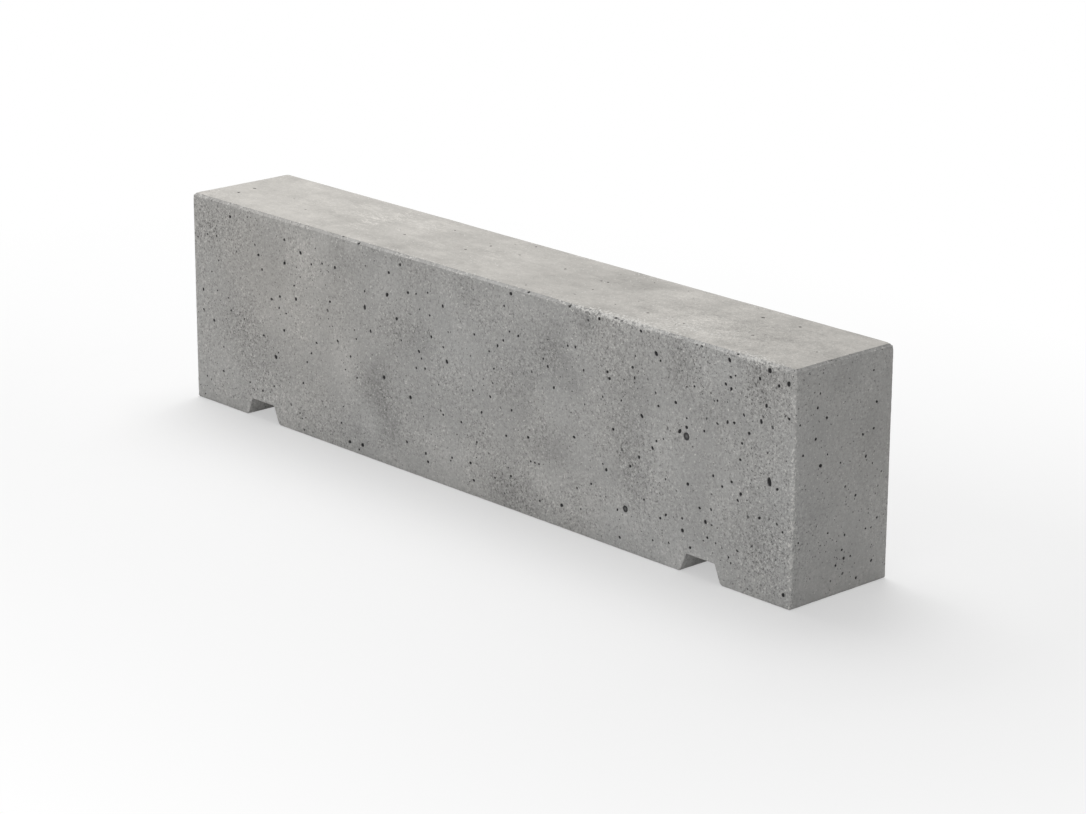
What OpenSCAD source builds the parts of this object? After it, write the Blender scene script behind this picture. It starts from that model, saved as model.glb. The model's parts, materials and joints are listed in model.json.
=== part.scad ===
// Free-standing concrete barrier block, cast in one piece.
// Millimetres, +Z up. X runs along the block, Y across it.
// The origin is at the middle of the underside, on the ground.

/* [Block] */
// Length of the block, end to end
block_length = 3000; // [1500:10:6000]
// Thickness of the block, front to back
block_width = 445; // [250:5:1000]
// Height of the block above the ground
block_height = 775; // [300:5:1500]

/* [Arrises] */
// Leg of the 45 degree chamfers round the top
top_chamfer = 10; // [2:0.5:40]
// Leg of the 45 degree chamfers on the upright arrises and round the underside
side_chamfer = 5; // [1:0.5:20]

/* [Base slots] */
// Distance from each end of the block to the middle of its slot
slot_inset = 390; // [200:5:650]
// Width of a slot where its slanted sides would meet the ground
slot_mouth_width = 180; // [140:2:300]
// Width of a slot's ceiling
slot_ceiling_width = 124; // [60:2:160]
// Height of a slot's ceiling above the ground
slot_height = 66; // [40:1:150]
// Radius of the rounded feet beside a slot's mouth
slot_foot_radius = 14; // [4:1:30]
// Radius of the hollow corners under a slot's ceiling
slot_ceiling_radius = 6; // [2:1:20]

/* [Hidden] */
// Fineness of the arcs; a multiple of 4, so that each arc meets its flats squarely
$fn = 64;
// How far a profile runs past the faces that trim it
overrun = 20;
// How far an arc is pressed into the flats it touches, so that no sliver is left there
arc_press = 0.002;
// How far a corner's patch sticks out past the corner's sides
patch_margin = 1;
// Middles of the two base slots along the block
slot_middles = [-1, 1] * (block_length / 2 - slot_inset);

function unit(v) = v / norm(v);

// The point reached by going on past a point, away from another.
function beyond(from, point, distance) = point + unit(point - from) * distance;

// What a rounding takes off the corner at point p, whose two sides run towards
// points a and b: all outside an arc that touches both sides. The patch sticks out
// past the sides, so that none of its edges lies along them.
module corner_patch(p, a, b, radius) {
    to_a = unit(a - p);
    to_b = unit(b - p);
    half_angle = acos(to_a * to_b) / 2;
    touch = radius / tan(half_angle);
    middle = p + unit(to_a + to_b) * radius / sin(half_angle);
    difference() {
        polygon([
            middle,
            beyond(middle, p + to_a * touch, patch_margin),
            beyond(middle, p, patch_margin / sin(half_angle)),
            beyond(middle, p + to_b * touch, patch_margin),
        ]);
        translate(middle) circle(radius + arc_press);
    }
}

// Rectangle centred on X, from y_low up to y_high, with its corners cut off at 45 degrees:
// the lower two by low_leg, the upper two by high_leg.
module chamfered_rectangle(width, y_low, y_high, low_leg, high_leg) {
    half = width / 2;
    polygon([
        [-half + low_leg, y_low],
        [half - low_leg, y_low],
        [half, y_low + low_leg],
        [half, y_high - high_leg],
        [half - high_leg, y_high],
        [-half + high_leg, y_high],
        [-half, y_high - high_leg],
        [-half, y_low + low_leg],
    ]);
}

// Section of one base slot: a trapezoid open to the ground, with rounded feet
// outside its mouth and hollow corners under its ceiling.
module slot_section() {
    foot = [slot_mouth_width / 2, 0];
    ceiling = [slot_ceiling_width / 2, slot_height];
    slope = unit(ceiling - foot);
    foot_below = foot - slope * overrun;
    difference() {
        polygon([
            [-foot_below[0], foot_below[1]],
            foot_below,
            ceiling,
            [-ceiling[0], ceiling[1]],
        ]);
        for (side = [0, 1])
            mirror([side, 0])
                corner_patch(ceiling, foot, [0, slot_height], slot_ceiling_radius);
    }
    for (side = [0, 1])
        mirror([side, 0])
            corner_patch(foot, ceiling, foot + [1, 0], slot_foot_radius);
}

// Front view of the block, with the slots cut up into its underside.
module front_profile() {
    difference() {
        chamfered_rectangle(block_length, 0, block_height, side_chamfer, top_chamfer);
        for (x = slot_middles)
            translate([x, 0]) slot_section();
    }
}

// End view of the block.
module end_profile() {
    chamfered_rectangle(block_width, 0, block_height, side_chamfer, top_chamfer);
}

// Top view of the block, with Y as its height.
module top_profile() {
    half_width = block_width / 2;
    chamfered_rectangle(block_length, -half_width, half_width, side_chamfer, side_chamfer);
}

// The whole cast block: what the three views have in common.
module barrier_block() {
    color([0.56, 0.56, 0.55])
        intersection() {
            rotate([90, 0, 0])
                linear_extrude(block_width + 2 * overrun, center = true)
                    front_profile();
            rotate([90, 0, 90])
                linear_extrude(block_length + 2 * overrun, center = true)
                    end_profile();
            translate([0, 0, -overrun])
                linear_extrude(block_height + 2 * overrun)
                    top_profile();
        }
}

barrier_block();
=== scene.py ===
"""Looks of a free-standing precast concrete barrier block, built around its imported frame.

Metres, +Z up. X runs along the block, Y across it, and the block stands on z = 0.
The cast surface is one closed mesh: flat panels with air holes, worn arrises and two base slots.
"""

import itertools
import json
import math
import random
from collections import defaultdict

import bmesh
import bpy
from mathutils import Euler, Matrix, Quaternion, Vector, noise
from mathutils.geometry import delaunay_2d_cdt


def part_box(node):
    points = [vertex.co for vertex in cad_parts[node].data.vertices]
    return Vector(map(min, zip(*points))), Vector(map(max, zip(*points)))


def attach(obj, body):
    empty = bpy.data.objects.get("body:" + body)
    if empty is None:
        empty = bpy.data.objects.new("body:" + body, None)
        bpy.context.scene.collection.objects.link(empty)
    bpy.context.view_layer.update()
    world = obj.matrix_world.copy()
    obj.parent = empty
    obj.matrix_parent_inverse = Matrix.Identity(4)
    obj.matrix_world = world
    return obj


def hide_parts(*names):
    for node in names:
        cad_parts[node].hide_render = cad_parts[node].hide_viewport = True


bl_info = {
    "name": "Concrete barrier block",
    "version": (1, 0, 0),
    "blender": (4, 5, 0),
    "location": "3D View > Sidebar > Barrier",
    "description": "Casts a weathered concrete barrier block and sets it on a plain studio floor",
    "category": "Object",
}

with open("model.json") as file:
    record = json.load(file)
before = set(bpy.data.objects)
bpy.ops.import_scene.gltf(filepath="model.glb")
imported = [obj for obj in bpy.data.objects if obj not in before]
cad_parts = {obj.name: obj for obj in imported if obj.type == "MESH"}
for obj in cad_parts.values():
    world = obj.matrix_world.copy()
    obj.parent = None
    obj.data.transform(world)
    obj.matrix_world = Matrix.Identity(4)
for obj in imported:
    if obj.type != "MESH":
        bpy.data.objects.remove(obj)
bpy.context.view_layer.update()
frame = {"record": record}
BLOCK_NODE = "barrier_block"
BLOCK_LOW, BLOCK_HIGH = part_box(BLOCK_NODE)
FRONT = BLOCK_LOW.y
BACK = BLOCK_HIGH.y
TOP = BLOCK_HIGH.z
MOUNTS = {mount["name"]: Vector(mount["pos_m"]) for mount in frame["record"]["mounts"]}
SLOT_CEILINGS = (MOUNTS["left_slot_ceiling"], MOUNTS["right_slot_ceiling"])


# ---------------------------------------------------------------------------------------------
# Settings
# ---------------------------------------------------------------------------------------------


class BarrierShape(bpy.types.PropertyGroup):
    """Sizes of the cast block that its mesh repeats from the frame's own construction."""

    top_chamfer: bpy.props.FloatProperty(
        name="Top chamfer",
        description="Leg of the 45 degree chamfers round the top",
        default=0.010,
        min=0.001,
        max=0.011,
        unit="LENGTH",
    )
    side_chamfer: bpy.props.FloatProperty(
        name="Side chamfer",
        description="Leg of the 45 degree chamfers on the upright arrises and round the underside",
        default=0.005,
        min=0.001,
        max=0.011,
        unit="LENGTH",
    )
    slot_mouth_width: bpy.props.FloatProperty(
        name="Slot mouth",
        description="Width of a base slot where its slanted sides would meet the ground",
        default=0.180,
        min=0.05,
        unit="LENGTH",
    )
    slot_ceiling_width: bpy.props.FloatProperty(
        name="Slot ceiling",
        description="Width of a base slot under its ceiling",
        default=0.124,
        min=0.03,
        unit="LENGTH",
    )
    slot_foot_radius: bpy.props.FloatProperty(
        name="Slot foot radius",
        description="Radius of the rounded feet on either side of a slot's mouth",
        default=0.014,
        min=0.002,
        unit="LENGTH",
    )
    slot_hollow_radius: bpy.props.FloatProperty(
        name="Slot corner radius",
        description="Radius of the hollow corners under a slot's ceiling",
        default=0.006,
        min=0.001,
        unit="LENGTH",
    )
    slot_chamfer: bpy.props.FloatProperty(
        name="Slot chamfer",
        description="Leg of the small chamfer where a slot runs out through the front and back",
        default=0.0022,
        min=0.0005,
        max=0.0035,
        unit="LENGTH",
    )
    edge_step: bpy.props.FloatProperty(
        name="Edge step",
        description="Spacing of the mesh's points along the arrises",
        default=0.005,
        min=0.003,
        unit="LENGTH",
    )


class BarrierWear(bpy.types.PropertyGroup):
    """Air holes, chips and unevenness of the cast surface."""

    hole_density: bpy.props.FloatProperty(
        name="Holes on the cast faces",
        description="Small air holes tried for each square metre of the front and back",
        default=500.0,
        min=0.0,
    )
    top_hole_density: bpy.props.FloatProperty(
        name="Holes on the top",
        description="Small air holes tried for each square metre of the trowelled top",
        default=110.0,
        min=0.0,
    )
    chip_spacing: bpy.props.FloatProperty(
        name="Chip spacing",
        description="Mean distance between small chips along the arrises",
        default=0.035,
        min=0.005,
        unit="LENGTH",
    )
    chip_depth: bpy.props.FloatProperty(
        name="Chip depth",
        description="Depth of the deepest ordinary chip",
        default=0.0024,
        min=0.0,
        unit="LENGTH",
    )
    waviness: bpy.props.FloatProperty(
        name="Waviness",
        description="Unevenness of the cast faces, peak to peak",
        default=0.0012,
        min=0.0,
        unit="LENGTH",
    )
    seed: bpy.props.IntProperty(
        name="Seed",
        description="Starting number of every random draw",
        default=7,
    )


class BarrierFinish(bpy.types.PropertyGroup):
    """Colours of the concrete."""

    cast_colour: bpy.props.FloatVectorProperty(
        name="Cast face",
        description="Mean colour of the concrete against the mould",
        subtype="COLOR",
        size=3,
        min=0.0,
        max=1.0,
        default=(0.372, 0.371, 0.364),
    )
    warm_colour: bpy.props.FloatVectorProperty(
        name="Warm cast face",
        description="Colour of the concrete against the mould where it is browner",
        subtype="COLOR",
        size=3,
        min=0.0,
        max=1.0,
        default=(0.382, 0.371, 0.353),
    )
    trowelled_colour: bpy.props.FloatVectorProperty(
        name="Trowelled top",
        description="Mean colour of the trowelled top",
        subtype="COLOR",
        size=3,
        min=0.0,
        max=1.0,
        default=(0.415, 0.40, 0.375),
    )
    # The hole colour is painted shade with some dirt, laid in the air holes and the pinholes.
    hole_shade_and_dirt_colour: bpy.props.FloatVectorProperty(
        name="Hole",
        description="Colour deep inside an air hole",
        subtype="COLOR",
        size=3,
        min=0.0,
        max=1.0,
        default=(0.035, 0.035, 0.036),
    )
    arris_colour: bpy.props.FloatVectorProperty(
        name="Worn arris",
        description="Colour of the sandy concrete bared along worn arrises",
        subtype="COLOR",
        size=3,
        min=0.0,
        max=1.0,
        default=(0.62, 0.61, 0.585),
    )


class BarrierStage(bpy.types.PropertyGroup):
    """Floor, lamps and camera."""

    floor_size: bpy.props.FloatProperty(
        name="Floor",
        description="Side of the square floor",
        default=160.0,
        min=10.0,
        unit="LENGTH",
    )
    lens: bpy.props.FloatProperty(
        name="Lens",
        description="Focal length of the camera, in millimetres on a 36 mm sensor",
        default=111.75,
        min=20.0,
        unit="CAMERA",
    )
    sky_strength: bpy.props.FloatProperty(
        name="Room light",
        description="Strength of the even light from all round",
        default=0.40,
        min=0.0,
    )
    key_power: bpy.props.FloatProperty(
        name="Overhead light",
        description="Power of the wide soft lamp above the block",
        default=570.0,
        min=0.0,
        unit="POWER",
    )
    fill_power: bpy.props.FloatProperty(
        name="Front light",
        description="Power of the soft lamp at the front left",
        default=166.0,
        min=0.0,
        unit="POWER",
    )


# ---------------------------------------------------------------------------------------------
# Outline of the block, seen from the front
# ---------------------------------------------------------------------------------------------


# Width of the strip of mesh beside each arris of the block, and beside the slots' edges.
ARRIS_BAND = 0.012
SLOT_BAND = 0.004

# Rows of points beside a chamfer's edge: how far short of it, and how far past it, they stand,
# as shares of the band.
SHORT_OF_EDGE = 0.06
PAST_EDGE = (0.04, 0.14)

# How many times closer points stand on a round corner than on a straight side, and the fewest
# pieces that such a corner has.
CORNER_FINENESS = 1.7
FEWEST_PIECES = 3


def squared(side, across, up, cuts):
    """How far a direction reaches in the corner of a cube of half size 1 with its edges cut off.

    Cuts are the legs of the chamfers between side and across, across and up, and up and side.
    """
    side_across, across_up, up_side = cuts
    limits = (
        max(side, across, up),
        (side + across) / (2 - side_across),
        (across + up) / (2 - across_up),
        (up + side) / (2 - up_side),
    )
    return 1 / max(limits)


def chamfer_turns(cut):
    """Angles from one face to the next at which a chamfer has rows of points.

    The rows stand close together at the chamfer's two edges, which are slightly eased.
    """
    edge = 1 - cut
    turns = [0.0, math.atan2(edge - SHORT_OF_EDGE, 1)]
    turns += [math.atan2(edge + past, 1 - past) for past in PAST_EDGE]
    mirrored = [math.pi / 2 - turn for turn in reversed(turns)]
    return [*turns, math.pi / 4, *mirrored]


class Corner:
    """A corner of the front outline, and the side that leaves it.

    Cut is the chamfer's leg as a share of the band, and is None where the corner is rounded.
    """

    def __init__(self, x, z, radius, cut, side_after, band_after, cuts_after):
        self.place = Vector((x, z))
        self.radius = radius
        self.cut = cut
        self.side_after = side_after
        self.band_after = band_after
        self.cuts_after = Vector(cuts_after)

    def turns(self, turn, step):
        """Angles turned at each station of this corner, from 0 to the whole turn."""
        if self.cut is not None:
            return chamfer_turns(self.cut)
        pieces = max(FEWEST_PIECES, round(self.radius * abs(turn) / step * CORNER_FINENESS))
        return [turn * k / pieces for k in range(pieces + 1)]


class Station:
    """A point of the outline, set out from the inner edge of the band beside it.

    Cuts are the chamfers' legs as shares of the band, as in squared().
    """

    def __init__(self, inner, normal, band, cuts, along, rounded):
        self.inner = inner
        self.normal = normal
        self.band = band
        self.cuts = cuts
        self.along = along
        self.facing = (0.0, 1.0) if rounded else (abs(normal.x), abs(normal.y))

    def reach(self, turn):
        """Distances out along the normal and across the block, as shares of the band."""
        side, up = self.facing
        out = math.cos(turn)
        across = math.sin(turn)
        factor = squared(side * out, across, up * out, self.cuts)
        return out * factor, across * factor

    def point(self):
        """The outline's own point."""
        out, _ = self.reach(0.0)
        return self.inner + self.normal * self.band * out

    def turns(self):
        """Angles at which the band beside this station has rows of points."""
        side, up = self.facing
        return chamfer_turns(self.cuts[0] * side**2 + self.cuts[1] * up**2)


def block_corners(shape):
    """Corners of the front view, counter-clockwise from the bottom left."""
    half = BLOCK_HIGH.x
    upright = shape.side_chamfer / ARRIS_BAND
    level = shape.top_chamfer / ARRIS_BAND
    low = (ARRIS_BAND, (upright, upright, upright))
    high = (ARRIS_BAND, (upright, level, level))
    slotted = (SLOT_BAND, (0.0, shape.slot_chamfer / SLOT_BAND, 0.0))
    mouth = shape.slot_mouth_width / 2
    ceiling = shape.slot_ceiling_width / 2
    foot = shape.slot_foot_radius
    hollow = shape.slot_hollow_radius
    corners = [Corner(-half, 0, ARRIS_BAND, upright, "underside", *low)]
    for slot in SLOT_CEILINGS:
        corners.append(Corner(slot.x - mouth, 0, foot, None, "slot", *slotted))
        corners.append(Corner(slot.x - ceiling, slot.z, hollow, None, "slot", *slotted))
        corners.append(Corner(slot.x + ceiling, slot.z, hollow, None, "slot", *slotted))
        corners.append(Corner(slot.x + mouth, 0, foot, None, "underside", *low))
    corners.append(Corner(half, 0, ARRIS_BAND, upright, "right_end", *low))
    corners.append(Corner(half, TOP, ARRIS_BAND, level, "top", *high))
    corners.append(Corner(-half, TOP, ARRIS_BAND, level, "left_end", *low))
    return corners


def outward(direction):
    """The outward normal beside a direction of travel round the outline."""
    return Vector((direction.y, -direction.x))


def turned(direction, spin):
    """A direction turned counter-clockwise by an angle."""
    return Vector(
        (
            direction.x * math.cos(spin) - direction.y * math.sin(spin),
            direction.x * math.sin(spin) + direction.y * math.cos(spin),
        )
    )


def way(corner, after):
    """Direction from one corner to the next."""
    return (after.place - corner.place).normalized()


def block_cuts(before, corner):
    """The cuts at a chamfered corner of the block: the higher of its two sides' level cuts."""
    upright = corner.cuts_after[0]
    level = max(before.cuts_after[1], corner.cuts_after[1])
    return Vector((upright, level, level))


class Outline:
    """Stations all round the block, and its stretches as (side, first, last) station numbers.

    A stretch named "bend" is the turn at a corner. The last stretch ends at station number 0.
    """

    def __init__(self, corners, step):
        self.stations = []
        self.stretches = []
        self.length = 0.0
        count = len(corners)
        for i, corner in enumerate(corners):
            after = corners[(i + 1) % count]
            beyond = corners[(i + 2) % count]
            leave = self.add_bend(corners[i - 1], corner, after, step)
            self.add_side(corner, after, beyond, leave, step)
        side, first, _ = self.stretches[-1]
        self.stretches[-1] = (side, first, 0)

    def add_bend(self, before, corner, after, step):
        """Stations round a corner. Returns the place where the outline leaves it."""
        way_in = way(before, corner)
        turn = way_in.angle_signed(way(corner, after)) * -1
        convex = 1 if turn > 0 else -1
        start = corner.place - way_in * (corner.radius * math.tan(abs(turn) / 2))
        middle = start - outward(way_in) * corner.radius * convex
        first = len(self.stations)
        for spin in corner.turns(turn, step):
            share = spin / turn
            normal = turned(outward(way_in), spin)
            band = before.band_after + (corner.band_after - before.band_after) * share
            rounded = corner.cut is None
            if rounded:
                cuts = before.cuts_after.lerp(corner.cuts_after, share)
            else:
                cuts = block_cuts(before, corner)
            inner = middle + normal * (corner.radius * convex - band)
            along = self.length + corner.radius * abs(spin)
            self.stations.append(Station(inner, normal, band, cuts, along, rounded))
        self.length += corner.radius * abs(turn)
        self.stretches.append(("bend", first, len(self.stations) - 1))
        return middle + outward(way(corner, after)) * corner.radius * convex

    def add_side(self, corner, after, beyond, leave, step):
        """Stations along the straight side from one corner to the next."""
        way_out = way(corner, after)
        next_turn = abs(way_out.angle_signed(way(after, beyond)))
        arrive = after.place - way_out * after.radius * math.tan(next_turn / 2)
        normal = outward(way_out)
        length = (arrive - leave).length
        pieces = max(1, round(length / step))
        in_slot = corner.side_after == "slot"
        first = len(self.stations) - 1
        for k in range(1, pieces):
            inner = leave.lerp(arrive, k / pieces) - normal * corner.band_after
            along = self.length + length * k / pieces
            self.stations.append(
                Station(inner, normal, corner.band_after, corner.cuts_after, along, in_slot)
            )
        self.length += length
        self.stretches.append((corner.side_after, first, len(self.stations)))

    def run(self, first, last):
        """A stretch's stations in order, each with its distance along the outline."""
        if last:
            return [(station, station.along) for station in self.stations[first : last + 1]]
        run = [(station, station.along) for station in self.stations[first:]]
        return [*run, (self.stations[0], self.length)]


# ---------------------------------------------------------------------------------------------
# Chips along the arrises
# ---------------------------------------------------------------------------------------------


class Cells:
    """Things kept by the cell of space that they lie in, so that those near a place are found."""

    SIDE = 0.06

    def __init__(self):
        self.cells = defaultdict(list)

    def cell(self, place):
        return tuple(math.floor(c / self.SIDE) for c in place)

    def keep(self, place, thing):
        """Keeps a thing in its own cell and in all the cells beside it."""
        cell = self.cell(place)
        for shift in itertools.product((-1, 0, 1), repeat=len(cell)):
            beside = tuple(c + step for c, step in zip(cell, shift))
            self.cells[beside].append(thing)

    def near(self, place):
        """Things in a place's cell and in the cells beside it."""
        return self.cells.get(self.cell(place), ())


# A chip's rim wanders by this share of its radius, in this many lumps for each metre, and so
# stays within the limit, in radii.
CHIP_WANDER = 0.35
CHIP_LUMPS = 190
CHIP_LIMIT = 1.5


class Chips:
    """Small bites out of the arrises."""

    def __init__(self):
        self.cells = Cells()

    def add(self, place, radius, depth, dark=False):
        self.cells.keep(place, (place, radius, depth, dark))

    def bites(self, place):
        """Depth of each chip that reaches a place, and whether it is an air hole with painted
        shade.
        """
        for middle, radius, depth, dark in self.cells.near(place):
            away = (place - middle).length / radius
            if away < CHIP_LIMIT:
                away /= 1 + CHIP_WANDER * noise.noise(place * CHIP_LUMPS)
                if away < 1:
                    yield depth * (1 - away * away), dark

    def bite(self, place):
        """How deep the chips cut at a place, in metres."""
        return max((depth for depth, _ in self.bites(place)), default=0.0)

    def hole_shade_bite(self, place):
        """How deep the air holes on the arrises cut at a place, in metres, for their painted shade.
        """
        return max((depth for depth, dark in self.bites(place) if dark), default=0.0)


# Air holes on the top front chamfer: place along the block, height, radius. Their depth is a
# share of the radius, and their insides get painted shade with some dirt.
ARRIS_HOLES = (
    (-0.65, 0.774, 0.0040),
    (-0.56, 0.767, 0.0055),
    (0.30, 0.771, 0.0055),
    (0.50, 0.766, 0.0070),
    (0.71, 0.771, 0.0050),
    (0.74, 0.768, 0.0050),
    (1.08, 0.762, 0.0045),
    (1.10, 0.763, 0.0050),
    (1.25, 0.770, 0.0050),
)
ARRIS_HOLE_DEPTH = 0.7

# Upper corners knocked rounder than the rest: front or back side, end, and depth.
KNOCKED_CORNERS = ((1, 1, 0.0024), (1, -1, 0.0016), (-1, -1, 0.0010))
KNOCK_RADIUS = 0.018

# The share of the usual chips that each kind of arris has. The long top arrises are calm to the
# left of a place along the block and worn to the right of it.
WORN_FROM = 0.25
CALM_SHARE = 0.35
FOOT_SHARE = 0.1
END_TOP_SHARE = 0.15
LEFT_UPRIGHT_SHARE = 0.4
RIGHT_UPRIGHT_SHARE = 0.8
BACK_SHARE = 0.15

# Radius of the smallest chips, how much larger the largest are, how strongly the draws favour
# small ones, and the smallest chips' share of the full depth.
CHIP_RADIUS = 0.005
CHIP_RADIUS_SPREAD = 0.011
CHIP_SKEW = 4
SHALLOWEST_CHIP = 0.25


def arris_lines(shape):
    """The arrises as (start, end, chamfer's leg, share of the usual chips)."""
    x = BLOCK_HIGH.x
    top = shape.top_chamfer
    low = shape.side_chamfer
    lines = []
    for y, exposed in ((FRONT, 1.0), (BACK, BACK_SHARE)):
        worn_from = Vector((WORN_FROM, y, TOP))
        lines.append((Vector((-x, y, TOP)), worn_from, top, CALM_SHARE * exposed))
        lines.append((worn_from, Vector((x, y, TOP)), top, exposed))
        lines.append((Vector((-x, y, 0)), Vector((x, y, 0)), low, FOOT_SHARE))
        for end, share in ((-x, LEFT_UPRIGHT_SHARE), (x, RIGHT_UPRIGHT_SHARE)):
            lines.append((Vector((end, y, 0)), Vector((end, y, TOP)), low, share * exposed))
    for end in (-x, x):
        for z, leg, share in ((0, low, FOOT_SHARE), (TOP, top, END_TOP_SHARE)):
            lines.append((Vector((end, FRONT, z)), Vector((end, BACK, z)), leg, share))
    return lines


def off_arris(place, start, end, inset):
    """A step from an arris towards the block's middle, in the two directions square to it."""
    middle = (BLOCK_LOW + BLOCK_HIGH) / 2
    step = Vector((0, 0, 0))
    for axis in range(3):
        if start[axis] == end[axis]:
            step[axis] = math.copysign(inset, middle[axis] - place[axis])
    return step


def scatter_chips(wear, shape, draws):
    """Chips of mixed sizes along every arris, most of them small."""
    chips = Chips()
    for start, end, leg, share in arris_lines(shape):
        length = (end - start).length
        for _ in range(int(length / wear.chip_spacing * share)):
            place = start.lerp(end, draws.random())
            size = draws.random() ** CHIP_SKEW * share
            radius = CHIP_RADIUS + CHIP_RADIUS_SPREAD * size
            depth = wear.chip_depth * (SHALLOWEST_CHIP + (1 - SHALLOWEST_CHIP) * size)
            chips.add(place + off_arris(place, start, end, leg / 2), radius, depth)
    for side, end, depth in KNOCKED_CORNERS:
        corner = Vector((end * BLOCK_HIGH.x, side * BLOCK_HIGH.y, TOP))
        middle = corner - Vector((end, side, 1)) * shape.top_chamfer / 2
        chips.add(middle, KNOCK_RADIUS, depth)
    chamfer_foot = TOP - shape.top_chamfer
    for x, z, radius in ARRIS_HOLES:
        place = Vector((x, FRONT + max(0.0, z - chamfer_foot), z))
        chips.add(place, radius, radius * ARRIS_HOLE_DEPTH, dark=True)
    return chips


# ---------------------------------------------------------------------------------------------
# Air holes
# ---------------------------------------------------------------------------------------------


# How far a hole's rim may reach, as a share of its radius.
RIM_REACH = 1.2


class Hole:
    """An air hole in a flat panel: its place on the panel, its size and its shape.

    The depth is given as a share of the radius, and kept in metres.
    """

    def __init__(self, a, b, radius, stretch, turn, depth=1.0):
        self.a = a
        self.b = b
        self.radius = radius
        self.stretch = stretch
        self.turn = turn
        self.depth = depth * radius

    def reach(self):
        """Radius of the circle that holds the whole rim."""
        return self.radius * max(self.stretch, 1.0) * RIM_REACH

    def ring(self, share, points, draws, raggedness):
        """A closed ring of points at a share of the radius."""
        ring = []
        for k in range(points):
            angle = math.tau * (k + 0.5) / points
            size = self.radius * share * (1 + raggedness * draws.uniform(-1, 1))
            a = math.cos(angle) * size * self.stretch
            b = math.sin(angle) * size
            ring.append(
                (
                    self.a + a * math.cos(self.turn) - b * math.sin(self.turn),
                    self.b + a * math.sin(self.turn) + b * math.cos(self.turn),
                )
            )
        return ring


class HoleMap:
    """The holes of one panel."""

    def __init__(self):
        self.cells = Cells()
        self.holes = []

    def add(self, hole):
        self.holes.append(hole)
        self.cells.keep((hole.a, hole.b), hole)

    def touches(self, a, b, margin):
        """Whether a place is within margin of a hole's rim."""
        return any(
            math.hypot(a - hole.a, b - hole.b) < hole.reach() + margin
            for hole in self.cells.near((a, b))
        )


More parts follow.
